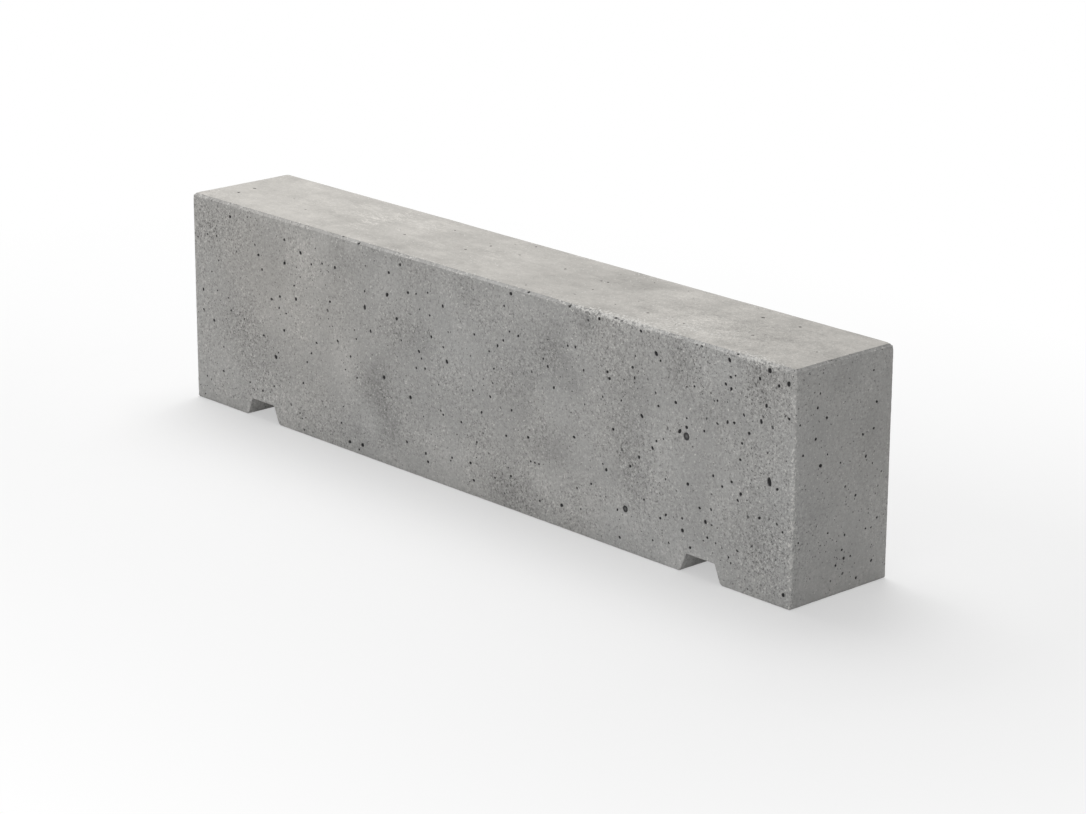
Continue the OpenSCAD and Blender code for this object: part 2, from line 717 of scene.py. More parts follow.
# The largest holes of the front: place along the block and height, radius, stretch, turn, and
# depth as a share of the radius, where it isn't the whole of it.
FRONT_HOLES = (
    (1.04, 0.455, 0.0130, 1.0, 0.0, 0.12),
    (1.01, 0.465, 0.0065, 1.5, 0.8),
    (1.04, 0.485, 0.0060, 1.1, 0.0),
    (1.04, 0.515, 0.0035, 1.1, 0.0),
    (0.77, 0.145, 0.0115, 1.0, 0.0, 0.14),
    (1.40, 0.395, 0.0090, 1.7, 1.8),
    (0.90, 0.695, 0.0070, 1.3, 2.3),
    (1.22, 0.745, 0.0065, 1.3, 2.2),
    (1.13, 0.195, 0.0065, 1.2, 1.9),
    (1.03, 0.140, 0.0070, 1.0, 0.0),
    (0.84, 0.475, 0.0060, 1.4, 2.4),
    (0.69, 0.565, 0.0055, 1.1, 0.6),
    (0.68, 0.585, 0.0050, 1.2, 0.2),
    (1.23, 0.655, 0.0055, 1.2, 1.0),
    (1.38, 0.635, 0.0055, 1.3, 1.2),
    (1.35, 0.715, 0.0055, 1.2, 2.2),
    (0.83, 0.335, 0.0055, 1.1, 1.4),
    (0.79, 0.295, 0.0055, 1.0, 0.0),
    (0.43, 0.475, 0.0050, 1.2, 0.9),
    (0.23, 0.755, 0.0055, 1.1, 1.5),
    (-0.10, 0.445, 0.0065, 1.3, 1.9),
    (-0.18, 0.515, 0.0050, 1.2, 1.6),
    (-0.30, 0.645, 0.0055, 1.2, 0.5),
    (-0.12, 0.635, 0.0055, 1.2, 2.0),
    (-0.41, 0.615, 0.0070, 1.2, 0.7),
    (-0.40, 0.695, 0.0055, 1.2, 0.4),
    (-0.53, 0.545, 0.0065, 1.6, 1.5),
    (-0.43, 0.315, 0.0070, 1.1, 0.2),
    (-0.29, 0.275, 0.0070, 1.1, 0.0),
    (-0.91, 0.495, 0.0065, 1.1, 1.2),
    (-0.97, 0.615, 0.0065, 1.1, 0.7),
    (-0.69, 0.655, 0.0060, 1.1, 0.9),
    (-0.98, 0.365, 0.0055, 1.1, 0.5),
    (-1.03, 0.255, 0.0075, 1.2, 2.4),
    (-1.39, 0.315, 0.0055, 1.2, 1.8),
    (-1.28, 0.725, 0.0055, 1.2, 0.4),
    (-0.62, 0.035, 0.0060, 1.4, 0.3),
    (-0.55, 0.040, 0.0075, 1.1, 0.3),
    (-0.20, 0.065, 0.0055, 1.1, 0.3),
    (0.02, 0.115, 0.0055, 1.1, 0.3),
    (0.36, 0.195, 0.0040, 1.1, 0.3),
    (0.34, 0.195, 0.0040, 1.1, 0.3),
    (0.32, 0.195, 0.0040, 1.1, 0.3),
    (0.22, 0.749, 0.0065, 1.1, 0.4),
    (0.64, 0.753, 0.0055, 1.2, 0.9),
    (0.83, 0.753, 0.0050, 1.1, 2.0),
    (1.39, 0.749, 0.0080, 1.1, 1.1),
    (1.47, 0.725, 0.0075, 1.3, 1.1),
    (1.43, 0.710, 0.0055, 1.1, 0.6),
    (1.36, 0.580, 0.0060, 1.4, 1.9),
    (1.31, 0.530, 0.0055, 1.1, 0.2),
    (1.28, 0.325, 0.0060, 1.1, 0.9),
    (1.47, 0.045, 0.0065, 1.2, 1.4),
    (1.05, 0.300, 0.0060, 1.1, 0.5),
    (0.99, 0.555, 0.0055, 1.1, 0.0),
    (0.89, 0.380, 0.0055, 1.2, 2.1),
    (0.71, 0.400, 0.0055, 1.1, 0.0),
    (0.68, 0.255, 0.0055, 1.2, 1.0),
    (0.47, 0.080, 0.0065, 1.2, 0.4, 0.7),
    (-0.34, 0.735, 0.0055, 1.1, 1.2),
    (-0.36, 0.540, 0.0060, 1.2, 0.7, 0.8),
    (-0.88, 0.670, 0.0065, 1.2, 2.3, 0.8),
    (-1.12, 0.615, 0.0055, 1.3, 0.2, 0.8),
    (-1.45, 0.420, 0.0055, 1.2, 1.7, 0.7),
    (-0.97, 0.700, 0.0050, 1.2, 0.8, 0.8),
    (-0.72, 0.525, 0.0050, 1.2, 0.4, 0.8),
    (-1.11, 0.110, 0.0045, 1.1, 0.0, 0.8),
    (-0.31, 0.110, 0.0045, 1.2, 2.2, 0.8),
    (-1.10, 0.565, 0.0050, 1.1, 1.5, 0.7),
    (-0.82, 0.640, 0.0045, 1.1, 0.0, 0.8),
    (-0.76, 0.655, 0.0045, 1.1, 0.0, 0.8),
    (-0.61, 0.350, 0.0045, 1.1, 1.0, 0.8),
    (1.24, 0.355, 0.0050, 1.1, 0.3),
    (1.16, 0.355, 0.0045, 1.2, 1.3),
    (1.14, 0.145, 0.0045, 1.1, 0.0),
    (0.93, 0.155, 0.0045, 1.2, 0.6),
    (0.61, 0.190, 0.0045, 1.1, 0.9),
    (0.53, 0.635, 0.0045, 1.2, 2.0, 0.8),
)

# The largest holes of the right end: place across the block and height, radius, stretch, turn.
END_HOLES = (
    (-0.10, 0.445, 0.0062, 1.3, 1.3),
    (-0.12, 0.635, 0.0048, 1.1, 0.6),
    (0.02, 0.115, 0.0055, 1.1, 0.9),
    (0.05, 0.115, 0.0040, 1.1, 0.2),
    (0.01, 0.145, 0.0040, 1.3, 1.6),
    (0.08, 0.035, 0.0048, 1.1, 0.4),
    (0.09, 0.505, 0.0042, 1.3, 0.7),
    (-0.18, 0.495, 0.0044, 1.1, 0.7),
    (-0.01, 0.435, 0.0036, 1.1, 0.7),
    (-0.19, 0.215, 0.0038, 1.1, 0.7),
    (-0.07, 0.475, 0.0032, 1.1, 0.7),
    (0.13, 0.705, 0.0036, 1.1, 0.7),
)

# The largest holes of the top: place along and across the block, radius, stretch, turn, and
# depth as a share of the radius.
TOP_HOLES = (
    (-1.40, -0.015, 0.0048, 1.4, 0.5, 0.35),
    (1.03, 0.125, 0.0048, 1.5, 0.2, 0.35),
    (-1.03, -0.075, 0.0036, 1.3, 0.4, 0.3),
    (0.91, -0.110, 0.0036, 1.2, 0.0, 0.35),
)

# Random small holes: radius of the smallest, how much larger the largest are, and how strongly
# the draws favour small ones. Most come out 3 to 6 mm across, and a few over 8 mm.
HOLE_RADIUS = 0.0015
HOLE_RADIUS_SPREAD = 0.0036
HOLE_SKEW = 2.3

# Their least and greatest stretch, and depth as a share of the radius.
HOLE_STRETCHES = (1.0, 1.5)
HOLE_DEPTHS = (0.25, 1.2)

# Clear skin round a random hole, and between a placed hole and its panel's edge.
HOLE_GAP = 0.003
PLACED_GAP = 0.0015


def scatter_holes(panel, placed, density, draws):
    """The placed holes of a panel and random small ones between them."""
    holes = HoleMap()
    for row in placed:
        hole = Hole(*row)
        if panel.holds(hole.a, hole.b, hole.reach() + PLACED_GAP):
            holes.add(hole)
    for _ in range(int(density * panel.width() * panel.height())):
        a = draws.uniform(panel.low[0], panel.high[0])
        b = draws.uniform(panel.low[1], panel.high[1])
        radius = HOLE_RADIUS + HOLE_RADIUS_SPREAD * draws.random() ** HOLE_SKEW
        stretch = draws.uniform(*HOLE_STRETCHES)
        turn = draws.uniform(0, math.pi)
        if draws.random() > panel.crowding(a, b):
            continue
        hole = Hole(a, b, radius, stretch, turn, draws.uniform(*HOLE_DEPTHS))
        gap = hole.reach() + HOLE_GAP
        if panel.holds(a, b, gap) and not holes.touches(a, b, gap):
            holes.add(hole)
    return holes


# A hole smaller than the first radius has few points, and one larger than the second has many.
TINY_RADIUS = 0.0028
LARGE_RADIUS = 0.007

# Depth just inside the rim of a deep hole, whose skin breaks off sharply there.
LIP_DEPTH = 0.0006


def hole_rings(hole, draws):
    """Rings of one hole from its rim down to its floor, as (points, depth)."""
    middle = [(hole.a, hole.b)]
    if hole.radius < TINY_RADIUS:
        return [
            (hole.ring(1.0, 6, draws, 0.12), 0.0),
            (hole.ring(0.66, 5, draws, 0.1), hole.depth * 0.85),
            (middle, hole.depth * 1.1),
        ]
    points = 9 if hole.radius < LARGE_RADIUS else 14
    if hole.depth < hole.radius / 2:
        return [
            (hole.ring(1.1, points, draws, 0.04), 0.0),
            (hole.ring(0.98, points, draws, 0.05), hole.depth * 0.9),
            (hole.ring(0.80, points, draws, 0.05), hole.depth * 1.2),
            (hole.ring(0.45, points - 4, draws, 0.15), hole.depth),
            (middle, hole.depth * 0.8),
        ]
    return [
        (hole.ring(1.14, points, draws, 0.04), 0.0),
        (hole.ring(1.0, points, draws, 0.08), LIP_DEPTH),
        (hole.ring(0.84, points, draws, 0.08), hole.depth * 0.62),
        (hole.ring(0.45, max(5, points - 3), draws, 0.12), hole.depth * 0.95),
        (middle, hole.depth),
    ]


# ---------------------------------------------------------------------------------------------
# Weathering
# ---------------------------------------------------------------------------------------------


# Waves of the faces, in repeats for each metre: long and short ones everywhere, and the trowel's
# on the top, with their share of the waviness.
LONG_WAVES = 1.7
SHORT_WAVES = 5.3
TROWEL_WAVES = 11.0
TROWEL_SHARE = 0.8

# What every arris has lost, in metres, and how unevenly, in coarse and fine lumps. The gain
# makes the loss full over most of a chamfer.
ARRIS_LOSS = 0.0003
ARRIS_UNEVENNESS = 0.0005
COARSE_LUMPS = 45
FINE_LUMPS = 120
ROUND_GAIN = 2.2

# How far the wear beside an arris goes, in double bands.
WEAR_REACH = 1.4


def roundness(normal):
    """0 on a flat face, 1 half way round an arris."""
    x, y, z = (abs(c) for c in normal)
    return min(1.0, ROUND_GAIN * (x * y + y * z + z * x))


def wornness(place):
    """1 on the upright arrises and the top's, fading out a little way into the flats."""
    to_sides = (BLOCK_HIGH.x - abs(place.x), BLOCK_HIGH.y - abs(place.y), TOP - place.z)
    to_arris = sorted(to_sides)[1]
    return min(1.0, max(0.0, WEAR_REACH - to_arris / (2 * ARRIS_BAND)))


class Weather:
    """Sinks every point of the ideal surface a little: waviness, worn arrises and chips."""

    def __init__(self, waviness, chips):
        self.waviness = waviness
        self.chips = chips

    def sink(self, place, normal):
        """Where a point of the ideal surface ends up. The underside stays flat."""
        wave = 0.5 + 0.5 * noise.noise(place * LONG_WAVES)
        wave += 0.25 * noise.noise(place * SHORT_WAVES)
        depth = self.waviness * max(0.0, wave)
        if normal.z > 0.5:
            ripple = 0.5 + 0.5 * noise.noise(place * TROWEL_WAVES)
            depth += self.waviness * TROWEL_SHARE * ripple
        if place.z < 0.001 and normal.z < -0.9:
            depth = 0.0
        bend = roundness(normal)
        if bend > 0:
            ragged = noise.noise(place * COARSE_LUMPS) + 0.6 * noise.noise(place * FINE_LUMPS)
            depth += bend * max(0.0, ARRIS_LOSS + ARRIS_UNEVENNESS * ragged)
        depth += self.chips.bite(place)
        return place - normal * depth


# ---------------------------------------------------------------------------------------------
# The skin, and its flat panels
# ---------------------------------------------------------------------------------------------


# Depth at which the painted shade in a hole is as dark as it gets.
DARKEST_DEPTH = 0.0022

# How level the trowelled top is, and how far from level and upright a chamfer is, as the start
# and width of a rise from 0 to 1. An edge of a chamfer is a peak's middle and half width.
TROWELLED_RISE = (0.977, 0.016)
CHAMFER_RISE = (0.13, 0.08)
EDGE_PEAK = (0.18, 0.13)


def rise(value, start, width):
    """0 up to a start, and 1 from a width beyond it."""
    return min(1.0, max(0.0, (value - start) / width))


def peak(value, middle, half_width):
    """1 at a middle, and 0 from a half width away from it."""
    return max(0.0, 1 - abs(value - middle) / half_width)


class Surface:
    """Points and faces of the block's mesh while it is being made, panel by panel.

    Maps holds each point's place on the unrolled map, and paint its amounts for the material.
    """

    def __init__(self, weather):
        self.weather = weather
        self.points = []
        self.faces = []
        self.maps = []
        self.paint = defaultdict(list)

    def add_point(self, ideal, normal, map_place, hollow=0.0):
        """Adds a point of the ideal surface, weathered, with its paint. Returns its number."""
        self.points.append(self.weather.sink(ideal, normal) - normal * hollow)
        self.maps.append(map_place)
        # Painted shade with some dirt: the deeper an air hole, the darker it is painted.
        shade_depth = hollow + self.weather.chips.hole_shade_bite(ideal)
        level = math.hypot(normal.x, normal.y)
        amounts = {
            "hollow": rise(shade_depth, 0.0, DARKEST_DEPTH),
            "worn": wornness(ideal),
            "trowelled": rise(normal.z, *TROWELLED_RISE),
            "chamfer": rise(min(normal.z, level), *CHAMFER_RISE),
            "upper_edge": peak(level, *EDGE_PEAK),
            "lower_edge": peak(normal.z, *EDGE_PEAK),
        }
        for name, amount in amounts.items():
            self.paint[name].append(amount)
        return len(self.points) - 1

    def add_grid(self, rows):
        """Faces between rows of point numbers."""
        for lower, upper in zip(rows, rows[1:]):
            for k in range(len(lower) - 1):
                self.faces.append((lower[k], lower[k + 1], upper[k + 1], upper[k]))


# How likely a random hole is to stay where it is drawn: the usual chance, how much that varies
# from patch to patch, the patches for each metre, and where their pattern starts. The balance
# makes the left-hand end of a face with a right weight less crowded than usual.
USUAL_CHANCE = 0.62
CHANCE_SPREAD = 0.75
CHANCE_PATCHES = 2.1
CHANCE_START = Vector((9, 4, 2))
CHANCE_BALANCE = 0.3


class Panel:
    """A flat face, in its own plane coordinates a and b, with a closed boundary of points.

    Notches are places that it leaves out, as (left, right, top). Right weight is how much more
    crowded the random holes are towards its right-hand end.
    """

    def __init__(self, origin, along_a, along_b, boundary, notches=(), right_weight=0.0):
        self.origin = origin
        self.along_a = along_a
        self.along_b = along_b
        self.normal = along_a.cross(along_b)
        self.boundary = boundary
        self.notches = notches
        self.right_weight = right_weight
        self.low = (min(p[0] for p in boundary), min(p[1] for p in boundary))
        self.high = (max(p[0] for p in boundary), max(p[1] for p in boundary))

    def width(self):
        return self.high[0] - self.low[0]

    def height(self):
        return self.high[1] - self.low[1]

    def place(self, a, b):
        """The point at a, b on this face."""
        return self.origin + self.along_a * a + self.along_b * b

    def crowding(self, a, b):
        """How likely a random hole is to stay at a place."""
        patch = noise.noise(self.place(a, b) * CHANCE_PATCHES + CHANCE_START)
        share = (a - self.low[0]) / self.width()
        extra = self.right_weight * (share**2 - CHANCE_BALANCE)
        return USUAL_CHANCE + CHANCE_SPREAD * patch + extra

    def holds(self, a, b, margin):
        """Whether a place is on this face, at least margin from its boundary."""
        if not self.low[0] + margin < a < self.high[0] - margin:
            return False
        if not self.low[1] + margin < b < self.high[1] - margin:
            return False
        for left, right, top in self.notches:
            if left - margin < a < right + margin and b < top + margin:
                return False
        return True


# Rows of points inside a panel's boundary: distance from it, and spacing along it. Where the
# boundary bends, a row may come as near to it as a share of that distance.
EDGE_ROWS = ((0.005, 0.006), (0.011, 0.009), (0.020, 0.015), (0.034, 0.026))
NEAREST_SHARE = 0.7

# The grid of points that fills the rest: its step, how far each point may stray as a share of
# it, and its distance from the boundary.
GRID_STEP = 0.042
GRID_STRAY = 0.25
GRID_MARGIN = 0.045

# Least distance of the rows' and the grid's points from a hole's rim.
ROW_GAP = 0.001
GRID_GAP = 0.002

# Points of a panel closer than this are one point.
SAME_POINT = 1e-7


def row_points(boundary, distance, spacing):
    """Points at a distance inside a closed boundary that runs counter-clockwise."""
    points = []
    travelled = 0.0
    for start, end in zip(boundary, [*boundary[1:], boundary[0]]):
        side = Vector(end) - Vector(start)
        travelled += side.length
        if travelled < spacing:
            continue
        travelled = 0.0
        way_along = side.normalized()
        inward = Vector((-way_along.y, way_along.x))
        points.append((Vector(start) + Vector(end)) / 2 + inward * distance)
    return points


def filling_points(panel, holes, draws):
    """Points inside a panel and clear of its holes, which keep its triangles well shaped."""
    for distance, spacing in EDGE_ROWS:
        for a, b in row_points(panel.boundary, distance, spacing):
            if panel.holds(a, b, distance * NEAREST_SHARE) and not holes.touches(a, b, ROW_GAP):
                yield a, b
    columns = max(1, round(panel.width() / GRID_STEP))
    rows = max(1, round(panel.height() / GRID_STEP))
    for i, j in itertools.product(range(columns + 1), range(rows + 1)):
        stray_a = draws.uniform(-GRID_STRAY, GRID_STRAY)
        stray_b = draws.uniform(-GRID_STRAY, GRID_STRAY)
        a = panel.low[0] + panel.width() * (i + stray_a) / columns
        b = panel.low[1] + panel.height() * (j + stray_b) / rows
        if panel.holds(a, b, GRID_MARGIN) and not holes.touches(a, b, GRID_GAP):
            yield a, b


def ring_edges(first, count):
    """Edges round a closed ring of points, from the number of its first one."""
    return [(first + k, first + (k + 1) % count) for k in range(count)]


def add_panel(surface, panel, holes, map_shift, draws):
    """Triangulates one flat face with its holes and adds it to the surface."""
    flat = [Vector(p) for p in panel.boundary]
    sunk = [0.0] * len(flat)
    edges = ring_edges(0, len(flat))
    for hole in holes.holes:
        for ring, depth in hole_rings(hole, draws):
            if len(ring) > 1:
                edges += ring_edges(len(flat), len(ring))
            flat += [Vector(p) for p in ring]
            sunk += [depth] * len(ring)
    for place in filling_points(panel, holes, draws):
        flat.append(Vector(place))
        sunk.append(0.0)
    made, _, faces, origins, _, _ = delaunay_2d_cdt(flat, edges, [], 1, SAME_POINT)
    first = len(surface.points)
    for point, came_from in zip(made, origins):
        depth = sunk[came_from[0]] if came_from else 0.0
        map_place = (point.x + map_shift[0], point.y + map_shift[1])
        surface.add_point(panel.place(point.x, point.y), panel.normal, map_place, depth)
    surface.faces += [tuple(first + k for k in face) for face in faces]


# ---------------------------------------------------------------------------------------------
# The cast block
# ---------------------------------------------------------------------------------------------


def add_rim(surface, stations, side, map_shift):
    """The chamfered rim between the outline and the front (side -1) or back (side 1) panel."""
    columns = []
    for station in [*stations, stations[0]]:
        column = []
        for turn in station.turns():
            out, over = station.reach(turn)
            flat = station.inner + station.normal * station.band * out
            place = Vector((flat.x, side * (BLOCK_HIGH.y - station.band * (1 - over)), flat.y))
            outwards = math.cos(turn)
            x, z = station.normal
            normal = Vector((x * outwards, side * math.sin(turn), z * outwards))
            unrolled = station.inner + station.normal * station.band * (math.pi / 2 - turn)
            map_place = (unrolled.x * -side + map_shift[0], unrolled.y + map_shift[1])
            column.append(surface.add_point(place, normal, map_place))
        columns.append(column)
    surface.add_grid(columns)


# Points of an outline closer than this are one point.
SAME_PLACE = 1e-5


def face_panel(stations, side, notches):
    """The flat front (side -1) or back (side 1) face inside its rims."""
    boundary = []
    for station in stations:
        point = station.inner
        if not boundary or (Vector(boundary[-1]) - point).length > SAME_PLACE:
            boundary.append((point.x, point.y))
    if (Vector(boundary[0]) - Vector(boundary[-1])).length < SAME_PLACE:
        boundary.pop()
    if side > 0:
        boundary = [(-a, b) for a, b in reversed(boundary)]
        notches = [(-right, -left, top) for left, right, top in notches]
    return Panel(
        Vector((0, side * BLOCK_HIGH.y, 0)),
        Vector((-side, 0, 0)),
        Vector((0, 0, 1)),
        boundary,
        notches,
        right_weight=0.5 if side < 0 else 0.0,
    )


def across(station, share):
    """Y of a point a share of the way from the front rim to the back rim."""
    reach = BLOCK_HIGH.y - station.band
    return -reach + 2 * reach * share


def add_strip(surface, run, pieces, map_shift):
    """A bent strip of the outline's sides, from the front rim to the back rim."""
    rows = []
    for station, along in run:
        normal = Vector((station.normal.x, 0, station.normal.y))
        point = station.point()
        row = []
        for j in range(pieces + 1):
            y = across(station, j / pieces)
            map_place = (along + map_shift[0], map_shift[1] - y)
            row.append(surface.add_point(Vector((point.x, y, point.y)), normal, map_place))
        rows.append(row)
    surface.add_grid(rows)


def side_panel(run, pieces):
    """A flat side of the block, such as its top, as a panel. Its b coordinate runs along -Y."""
    first, start_along = run[0]
    last, _ = run[-1]
    reach = BLOCK_HIGH.y - first.band
    alongs = [along - start_along for _, along in run]
    boundary = [(a, -reach) for a in alongs]
    boundary += [(alongs[-1], across(last, j / pieces)) for j in range(1, pieces)]
    boundary += [(a, reach) for a in reversed(alongs)]
    boundary += [(0.0, across(first, j / pieces)) for j in range(pieces - 1, 0, -1)]
    start = first.point()
    way_along = (last.point() - start).normalized()
    return Panel(
        Vector((start.x, 0, start.y)),
        Vector((way_along.x, 0, way_along.y)),
        Vector((0, -1, 0)),
        boundary,
    )


def placed_on(panel, side):
    """The placed holes of the top or the right end, in that panel's own coordinates."""
    if side == "right_end":
        return [(z - panel.origin.z, -y, *rest) for y, z, *rest in END_HOLES]
    if side == "top":
        return [(panel.origin.x - x, -y, *rest) for x, y, *rest in TOP_HOLES]
    return ()


# Where each chart of the block's surface lies on the square unrolled map, in metres.
MAP_SIDE = 3.35
FACE_CHARTS = {"front": (1.56, 0.06), "back": (1.56, 0.93)}
SIDE_CHARTS = {
    "underside": (0.06, 2.0),
    "top": (0.06, 2.47),
    "right_end": (0.06, 2.94),
    "left_end": (1.06, 2.94),
}

# The small holes of the ends and the underside, as a share of those of the front and back.
SIDE_HOLE_SHARE = 0.6


def add_faces(surface, outline, shape, wear, draws):
    """The front and the back, each with its rim."""
    half = shape.slot_mouth_width / 2 + SLOT_BAND
    notches = [(slot.x - half, slot.x + half, slot.z + SLOT_BAND) for slot in SLOT_CEILINGS]
    for side, name, placed in ((-1, "front", FRONT_HOLES), (1, "back", ())):
        chart = FACE_CHARTS[name]
        add_rim(surface, outline.stations, side, chart)
        panel = face_panel(outline.stations, side, notches)
        holes = scatter_holes(panel, placed, wear.hole_density, draws)
        add_panel(surface, panel, holes, chart, draws)


def add_sides(surface, outline, shape, wear, draws):
    """The underside with its slots, the ends and the top, and the bends between them."""
    pieces = round(2 * (BLOCK_HIGH.y - ARRIS_BAND) / shape.edge_step)
    chart = SIDE_CHARTS["underside"]
    for side, first, last in outline.stretches:
        run = outline.run(first, last)
        start = run[0][1]
        if side in ("top", "right_end", "left_end"):
            chart = (SIDE_CHARTS[side][0] - start, SIDE_CHARTS[side][1])
        if side in ("bend", "slot"):
            add_strip(surface, run, pieces, chart)
            continue
        panel = side_panel(run, pieces)
        density = SIDE_HOLE_SHARE * wear.hole_density
        if side == "top":
            density = wear.top_hole_density
        holes = scatter_holes(panel, placed_on(panel, side), density, draws)
        add_panel(surface, panel, holes, (chart[0] + start, chart[1]), draws)


def cast_block(shape, wear):
    """Builds the whole surface of the block as one closed skin."""
    draws = random.Random(wear.seed)
    outline = Outline(block_corners(shape), shape.edge_step)
    chips = scatter_chips(wear, shape, draws)
    surface = Surface(Weather(wear.waviness, chips))
    add_faces(surface, outline, shape, wear, draws)
    add_sides(surface, outline, shape, wear, draws)
    return surface


# Points of neighbouring panels closer than the first distance are welded, edges shorter than the
# second are dissolved, and a ridge sharper than the angle, in degrees, isn't smoothed.
WELD_DISTANCE = 2e-5
SHORTEST_EDGE = 1e-6
SHARP_ANGLE = 38


def mesh_from(surface, name):
    """A Blender mesh of the surface, welded along its seams, with its map and its paint."""
    mesh = bpy.data.meshes.new(name)
    mesh.from_pydata(surface.points, [], surface.faces)
    unrolled = mesh.uv_layers.new(name="OFBake")
    for loop in mesh.loops:
        a, b = surface.maps[loop.vertex_index]
        unrolled.data[loop.index].uv = (a / MAP_SIDE, b / MAP_SIDE)
    for paint, values in surface.paint.items():
        mesh.attributes.new(paint, "FLOAT", "POINT").data.foreach_set("value", values)
    work = bmesh.new()
    work.from_mesh(mesh)
    bmesh.ops.remove_doubles(work, verts=work.verts, dist=WELD_DISTANCE)
    bmesh.ops.dissolve_degenerate(work, edges=work.edges, dist=SHORTEST_EDGE)
    bmesh.ops.recalc_face_normals(work, faces=work.faces)
    if any(len(edge.link_faces) != 2 for edge in work.edges):
        raise RuntimeError("the block's skin isn't closed")
    work.to_mesh(mesh)
    work.free()
    mesh.polygons.foreach_set("use_smooth", [True] * len(mesh.polygons))
    mesh.set_sharp_from_angle(angle=math.radians(SHARP_ANGLE))
    mesh.update()
    return mesh


# ---------------------------------------------------------------------------------------------
# Concrete
# ---------------------------------------------------------------------------------------------


class Recipe:
    """A small builder of shader nodes: each call adds one node and returns its output."""

    def __init__(self, tree):
        self.tree = tree

    def add(self, kind, inputs, output, **settings):
        """Adds a node. An input is linked where it is another node's output, or else set."""
        node = self.tree.nodes.new(kind)
        for name, value in settings.items():
            setattr(node, name, value)
        for name, value in inputs.items():
            socket = node.inputs[name]
            if isinstance(value, bpy.types.NodeSocket):
                self.tree.links.new(value, socket)
            else:
                socket.default_value = value
        return node.outputs[output]

    def number(self, operation, *values):
        return self.add("ShaderNodeMath", dict(enumerate(values)), 0, operation=operation)

    def vector(self, operation, *values, output=0):
        return self.add(
            "ShaderNodeVectorMath", dict(enumerate(values)), output, operation=operation
        )

    def stretched(self, place, scale):
        """Coordinates stretched for a texture that runs longer one way than another."""
        return self.add("ShaderNodeMapping", {"Vector": place, "Scale": scale}, "Vector")

    def noise(self, place, scale, detail, roughness, output="Fac"):
        """Soft noise around 0.5. Scale is in repeats for each metre."""
        inputs = {"Vector": place, "Scale": scale, "Detail": detail, "Roughness": roughness}
        return self.add("ShaderNodeTexNoise", inputs, output)

    def drift(self, place, scale, strength, detail, roughness):
        """Noise from about -strength to +strength, centred on zero."""
        fac = self.noise(place, scale, detail, roughness)
        return self.number("MULTIPLY_ADD", fac, 2 * strength, -strength)

    def off_half(self, fac):
        """How far noise is from 0.5, which is 0 along thin winding lines."""
        return self.number("ABSOLUTE", self.number("SUBTRACT", fac, 0.5))

    def span(self, value, low, high, to_low=0.0, to_high=1.0, smooth=False):
        """Value carried from low..high to to_low..to_high and kept inside it."""
        inputs = {
            "Value": value,
            "From Min": low,
            "From Max": high,
            "To Min": to_low,
            "To Max": to_high,
        }
        easing = "SMOOTHSTEP" if smooth else "LINEAR"
        return self.add("ShaderNodeMapRange", inputs, "Result", interpolation_type=easing)

    def specks(self, place, scale, reach, softness, share):
        """Small round specks: 1 or less inside them, 0 outside.

        Scale is cells for each metre, reach is in metres, and share is how many cells have one.
        """
        inputs = {"Vector": place, "Scale": scale}
        away = self.add("ShaderNodeTexVoronoi", inputs, "Distance")
        lot = self.vector("DOT_PRODUCT", away.node.outputs["Color"], (1, 0, 0), output="Value")
        speck = self.span(away, reach * scale, reach * scale * (1 - softness), smooth=True)
        return self.number("MULTIPLY", speck, self.span(lot, share, share * 0.4))

    def mix(self, factor, base, over):
        """Colour base with colour over laid on it by factor."""
        return self.add("ShaderNodeMix", {0: factor, 6: base, 7: over}, 2, data_type="RGBA")

    def toned(self, colour, tone):
        """A colour made lighter or darker by a number."""
        inputs = {0: colour, "Scale": tone}
        return self.add("ShaderNodeVectorMath", inputs, 0, operation="SCALE")

    def paint(self, name):
        """A paint attribute of the mesh."""
        return self.add("ShaderNodeAttribute", {}, "Fac", attribute_name=name)


# How far into the block a soft spot on the front or back goes.
SPOT_DEPTH = 0.10


def on_face(y, rows):
    """Spots on the front or back, from rows of place along, height, two reaches and amount."""
    return [((x, y, z), (wide, SPOT_DEPTH, tall), amount) for x, z, wide, tall, amount in rows]
